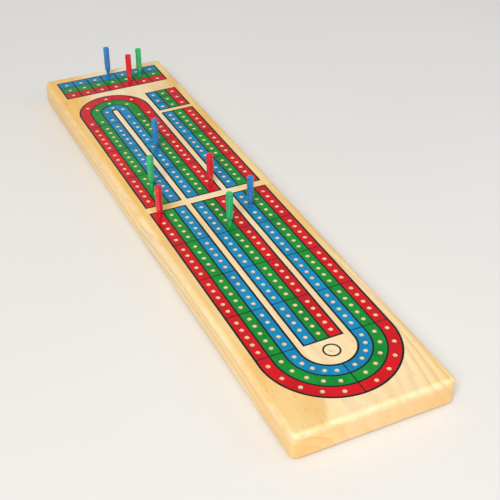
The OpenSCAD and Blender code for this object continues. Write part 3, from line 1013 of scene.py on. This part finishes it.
def disc_outline(radius, low_z, high_z, edge):
    """Half outline of a plain cylinder, with a fillet of this size around both of its ends."""
    return [
        ((0, low_z), 0),
        ((radius, low_z), edge),
        ((radius, high_z), edge),
        ((0, high_z), 0),
    ]


def slab(shape, loops, low_z, high_z, edge, sinks=()):
    """A flat plate with eased edges, bounded by loops with the material on their left.

    Each sink is a tapered hole: its centre, its radius at the low face and at the high face."""
    tops = []
    bottoms = []
    for loop in loops:
        outlines = [(inset(loop, eased(depth, edge)), depth) for depth in edge_depths(edge, LEAF_STEPS)]
        rings = [ring(shape, outline, low_z + depth) for outline, depth in outlines]
        rings += [ring(shape, outline, high_z - depth) for outline, depth in reversed(outlines)]
        wall(shape, rings)
        bottoms.append(rings[0])
        tops.append(rings[-1])
    for centre, low_radius, high_radius in sinks:
        bottoms.append(ring(shape, circle(centre, low_radius, HOLE_STEPS), low_z))
        tops.append(ring(shape, circle(centre, high_radius, HOLE_STEPS), high_z))
        wall(shape, [bottoms[-1], tops[-1]])
    cap(shape, bottoms)
    cap(shape, tops)


def knuckle_loop():
    """Section of a knuckle in (y, z) about the pin: a sheet that curls around it and back to the plate."""
    top = BOARD_BOTTOM_Z
    under = top - LEAF_THICKNESS
    tab_end = PLATE_START + TAB_OVERLAP
    over_pin = top - PIN_Z
    curl = 3 * QUARTER_TURN + math.asin((under - PIN_Z) / BARREL_RADIUS)
    loop = [Vector((tab_end, under)), Vector((tab_end, top))]
    for i in range(CURL_STEPS + 1):
        turn = curl * i / CURL_STEPS
        closing = min(1.0, turn / QUARTER_TURN)
        radius = over_pin + (BARREL_RADIUS - over_pin) * closing
        loop.append(point_at((0, PIN_Z), radius, QUARTER_TURN + turn))
    return loop


def make_leaf(side, half):
    """A hinge leaf: a plate with countersunk holes, joined to the knuckles that curl around the pin."""
    node = f"{side}_hinge_{half}_leaf"
    low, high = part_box(node)
    sign = HALVES[half]
    under_z = BOARD_BOTTOM_Z - LEAF_THICKNESS
    knuckle_pitch = (high.x - low.x) / KNUCKLES
    own_knuckles = range(0, KNUCKLES, 2) if half == "far" else range(1, KNUCKLES, 2)
    bore = PIN_RADIUS if half == "far" else PIN_RADIUS + BORE_CLEARANCE
    plate_end = max(abs(low.y), abs(high.y))
    screw_radius = screw_hole_radius(half)
    sinks = [(centre, radius, screw_radius) for centre, radius in round_outlines(node, under_z)]

    def build_plate(shape):
        corner = LEAF_CORNER
        loop = [Vector((low.x, PLATE_START)), Vector((high.x, PLATE_START))]
        loop += arc((high.x - corner, plate_end - corner), corner, 0, 90, CORNER_STEPS)
        loop += arc((low.x + corner, plate_end - corner), corner, 90, 180, CORNER_STEPS)
        loop = [Vector((point.x, sign * point.y)) for point in loop]
        if sign < 0:
            loop.reverse()
        slab(shape, [loop], under_z, BOARD_BOTTOM_Z, LEAF_EDGE, sinks)

    def build_knuckles(shape):
        outline = [Vector((sign * y, z)) for y, z in knuckle_loop()]
        if sign < 0:
            outline.reverse()
        hole = circle(Vector((0, PIN_Z)), bore, HOLE_STEPS, clockwise=True)
        for number in own_knuckles:
            start = low.x + number * knuckle_pitch + KNUCKLE_GAP / 2
            slab(shape, [outline, hole], start, start + knuckle_pitch - KNUCKLE_GAP, KNUCKLE_EDGE)
        bmesh.ops.transform(shape, matrix=ALONG_X, verts=shape.verts)

    make_piece(node + "_pressing", node, build_plate, added_solid=build_knuckles)


def make_pin(side):
    """A hinge pin with eased ends, lying along X."""
    node = f"{side}_hinge_pin"
    low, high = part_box(node)
    profile = filleted(disc_outline(PIN_RADIUS, low.x, high.x, PIN_EDGE))

    def build(shape):
        turned(shape, profile, Vector((0, PIN_Z, 0)), HOLE_STEPS)
        bmesh.ops.transform(shape, matrix=ALONG_X, verts=shape.verts)

    make_piece(node + "_wire", node, build)


# ------------------------ screws, feet and magnets

SCREW_THREADS = 4
THREAD_DEPTH = 0.2 * MM
SCREW_POINT = 1.2 * MM
RECESS_WIDTH = 0.4 * MM
RECESS_DEPTH = 0.4 * MM
SCREW_RIM = 0.16 * MM
SCREW_BULGE_INSET = 0.04 * MM
SCREW_BULGE_DEPTH = SCREW_RIM / 3
FOOT_EDGE = 0.7 * MM
FOOT_DISH = 2.2 * MM
FOOT_DISH_DEPTH = 0.25 * MM
FOOT_DRAFT = 0.25 * MM
MAGNET_EDGE = 0.2 * MM


def cross_outline(centre, reach, width):
    """A plus sign, running anticlockwise."""
    half = width / 2
    arm = [(reach, -half), (reach, half), (half, half)]
    loop = []
    for turn in range(4):
        facing = Matrix.Rotation(QUARTER_TURN * turn, 2)
        loop += [centre + facing @ Vector(point) for point in arm]
    return loop


def make_screws(half):
    """The countersunk screws of one half, heads down, each with a cross recess and a thread."""
    node = f"{half}_hinge_screws"
    low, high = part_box(node)
    shank = screw_hole_radius(half)
    neck_z = low.z + LEAF_THICKNESS
    pitch = (high.z - SCREW_POINT - neck_z) / SCREW_THREADS

    def build(shape):
        for centre, radius in round_outlines(node, low.z):
            sections = [
                (radius - SCREW_RIM, low.z),
                (radius - SCREW_BULGE_INSET, low.z + SCREW_BULGE_DEPTH),
                (radius - SCREW_RIM, low.z + SCREW_RIM),
                (shank, neck_z),
            ]
            for turn in range(SCREW_THREADS):
                start = neck_z + turn * pitch
                sections += [(shank - THREAD_DEPTH, start + pitch / 2), (shank, start + pitch)]
            rings = [ring(shape, circle(centre, r, HOLE_STEPS), z) for r, z in sections]
            wall(shape, rings)
            fan(shape, rings[-1], shape.verts.new((centre.x, centre.y, high.z)))
            recess = cross_outline(centre, shank, RECESS_WIDTH)
            mouth = ring(shape, recess, low.z)
            floor = ring(shape, recess, low.z + RECESS_DEPTH)
            wall(shape, [mouth, floor])
            cap(shape, [rings[0], mouth])
            cap(shape, [floor])

    make_piece(f"{half}_hinge_screw_set", node, build)


def make_turned_set(node, name, outline_of):
    """The identical turned parts of one CAD node; outline_of makes their half outline."""
    low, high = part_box(node)
    places = [centre for centre, _ in round_outlines(node, low.z)]
    radius = high.x - max(place.x for place in places)
    profile = filleted(outline_of(radius, low.z, high.z))

    def build(shape):
        for place in places:
            turned(shape, profile, place.to_3d(), TURNED_STEPS)

    make_piece(name, node, build)


def foot_outline(radius, low_z, high_z):
    """A moulded rubber stud with a soft edge and a dished sole."""
    dish_z = low_z + FOOT_DISH_DEPTH
    return [
        ((0, dish_z), 0),
        ((FOOT_DISH - FOOT_DISH_DEPTH, dish_z), FOOT_DISH_DEPTH),
        ((FOOT_DISH + FOOT_DISH_DEPTH, low_z), FOOT_DISH_DEPTH),
        ((radius - FOOT_DRAFT, low_z), FOOT_EDGE),
        ((radius, high_z), 0),
        ((0, high_z), 0),
    ]


def magnet_outline(radius, low_z, high_z):
    """A plated disc with a bevelled rim, flush with the wood."""
    return disc_outline(radius, low_z, high_z, MAGNET_EDGE)


# ------------------------ stage, light and camera

FLOOR_HALF_SIZE = 4.0
Z_CHANNEL = 2


def add_floor():
    """A wide pale floor; sink_floor_with_fold drives it down out of the way when the near half folds down
    under the far one.
    """
    signs = ((-1, -1), (1, -1), (1, 1), (-1, 1))
    corners = [(x * FLOOR_HALF_SIZE, y * FLOOR_HALF_SIZE, 0) for x, y in signs]
    floor = new_object("floor", lambda shape: shape.faces.new([shape.verts.new(c) for c in corners]))
    floor.data.materials.append(floor_material())
    return floor


def sink_floor_with_fold(floor):
    """Drives the floor to just below the lowest point of the folded board."""
    near_body = frame["bodies"]["near_half"]
    near_pegs = [joint["child"] for joint in frame["joints"] if joint["parent"] == "near_half"]
    peg_reach = max(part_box(peg)[1].z for peg in near_pegs) - 2 * PIN_Z
    driver = floor.driver_add("location", Z_CHANNEL).driver
    driver.type = "SCRIPTED"

    def watch(name, body, channel):
        variable = driver.variables.new()
        variable.name = name
        variable.type = "TRANSFORMS"
        variable.targets[0].id = body
        variable.targets[0].transform_type = channel
        variable.targets[0].transform_space = "WORLD_SPACE"

    watch("turn", near_body, "ROT_X")
    watch("base", near_body, "LOC_Z")
    lifts = []
    for i, body in enumerate(near_pegs):
        watch(f"peg{i}", frame["bodies"][body], "LOC_Z")
        lifts.append(f"peg{i} - base")
    lowest_lift = "min(0, " + ", ".join(lifts) + ")"
    driver.expression = (
        f"{lowest_lift} - {HALF_LENGTH:.4f} * abs(sin(turn))"
        f" - {peg_reach:.4f} * (1 - cos(turn)) / 2")


# The studio's softboxes: where each stands, its size, its power and its tint
SOFTBOXES = {
    "key": ((-0.98, -1.40, 1.70), (1.2, 1.2), 54.0, (1.0, 0.97, 0.92)),
    "fill": ((0.9, -0.6, 0.7), (0.8, 0.8), 2.0, (0.95, 0.97, 1.0)),
    "back": ((-0.2, 1.1, 0.8), (1.2, 0.5), 0.8, (1.0, 1.0, 1.0)),
}
SKY_LIGHT = (0.92, 0.95, 1.0, 1.0)
SKY_STRENGTH = 0.36


def add_softbox(name, location, size, power, tint):
    """A rectangular area light that faces the middle of the object."""
    light = bpy.data.lights.new(name, "AREA")
    light.shape = "RECTANGLE"
    light.size, light.size_y = size
    light.energy = power
    light.color = tint
    lamp = bpy.data.objects.new(name, light)
    bpy.context.scene.collection.objects.link(lamp)
    lamp.location = location
    lamp.rotation_euler = (-Vector(location)).to_track_quat("-Z", "Y").to_euler()


def light_studio():
    """Soft light from all round, a plain pale background behind the floor, and the softboxes."""
    world = bpy.data.worlds.new("studio")
    bpy.context.scene.world = world
    world.use_nodes = True
    tree = world.node_tree
    lighting = find_node(tree, "BACKGROUND")
    feed(tree, lighting, {"Color": SKY_LIGHT, "Strength": SKY_STRENGTH})
    seen = add(tree, "ShaderNodeBackground", {"Color": BACKDROP_COLOUR})
    by_camera = add(tree, "ShaderNodeLightPath").outputs["Is Camera Ray"]
    mixed = mix_shaders(tree, by_camera, lighting.outputs[0], seen.outputs[0])
    feed(tree, find_node(tree, "OUTPUT_WORLD"), {"Surface": mixed})
    for name, settings in SOFTBOXES.items():
        add_softbox(name, *settings)


# The photograph's station: its direction as seen from the middle of the fold, then in lengths of the
# board its distance from there, and the place along Y that it aims at
CAMERA_AZIMUTH = math.radians(-22.7)
CAMERA_ELEVATION = math.radians(32.8)
CAMERA_DISTANCE = 1.54
CAMERA_AIM = -0.15
CAMERA_LENS = 72.0
CAMERA_CLIP_START = 0.01


def add_camera():
    """A camera that sees the object from the photograph's station."""
    board_length = 2 * HALF_LENGTH
    level = math.cos(CAMERA_ELEVATION)
    back = Vector((
        math.sin(CAMERA_AZIMUTH) * level,
        -math.cos(CAMERA_AZIMUTH) * level,
        math.sin(CAMERA_ELEVATION)))
    fold = Vector((0, 0, TOP_Z))
    aim = Vector((0, CAMERA_AIM * board_length, TOP_Z))
    camera = bpy.data.objects.new("camera", bpy.data.cameras.new("camera"))
    bpy.context.scene.collection.objects.link(camera)
    camera.location = fold + back * CAMERA_DISTANCE * board_length
    camera.rotation_euler = (aim - camera.location).to_track_quat("-Z", "Y").to_euler()
    camera.data.lens = CAMERA_LENS
    camera.data.clip_start = CAMERA_CLIP_START
    bpy.context.scene.camera = camera


# ------------------------ assembly

for half, side in HALVES.items():
    make_board(half, side)
    for colour in COLOURS:
        make_print(f"{half}_{colour}_lanes", f"{half}_{colour}_print", COLOUR_FILM)
    make_print(f"{half}_lane_lines", f"{half}_line_print", LINE_FILM)
    make_screws(half)
    make_turned_set(f"{half}_feet", f"{half}_rubber_feet", foot_outline)
    make_turned_set(f"{half}_magnets", f"{half}_magnet_discs", magnet_outline)
for side in HINGES:
    make_pin(side)
    for half in HALVES:
        make_leaf(side, half)
for colour in COLOURS:
    for place in PEG_PLACES:
        make_peg(colour, place)

floor = add_floor()
sink_floor_with_fold(floor)
light_studio()
add_camera()
bpy.context.scene.view_settings.view_transform = "Standard"
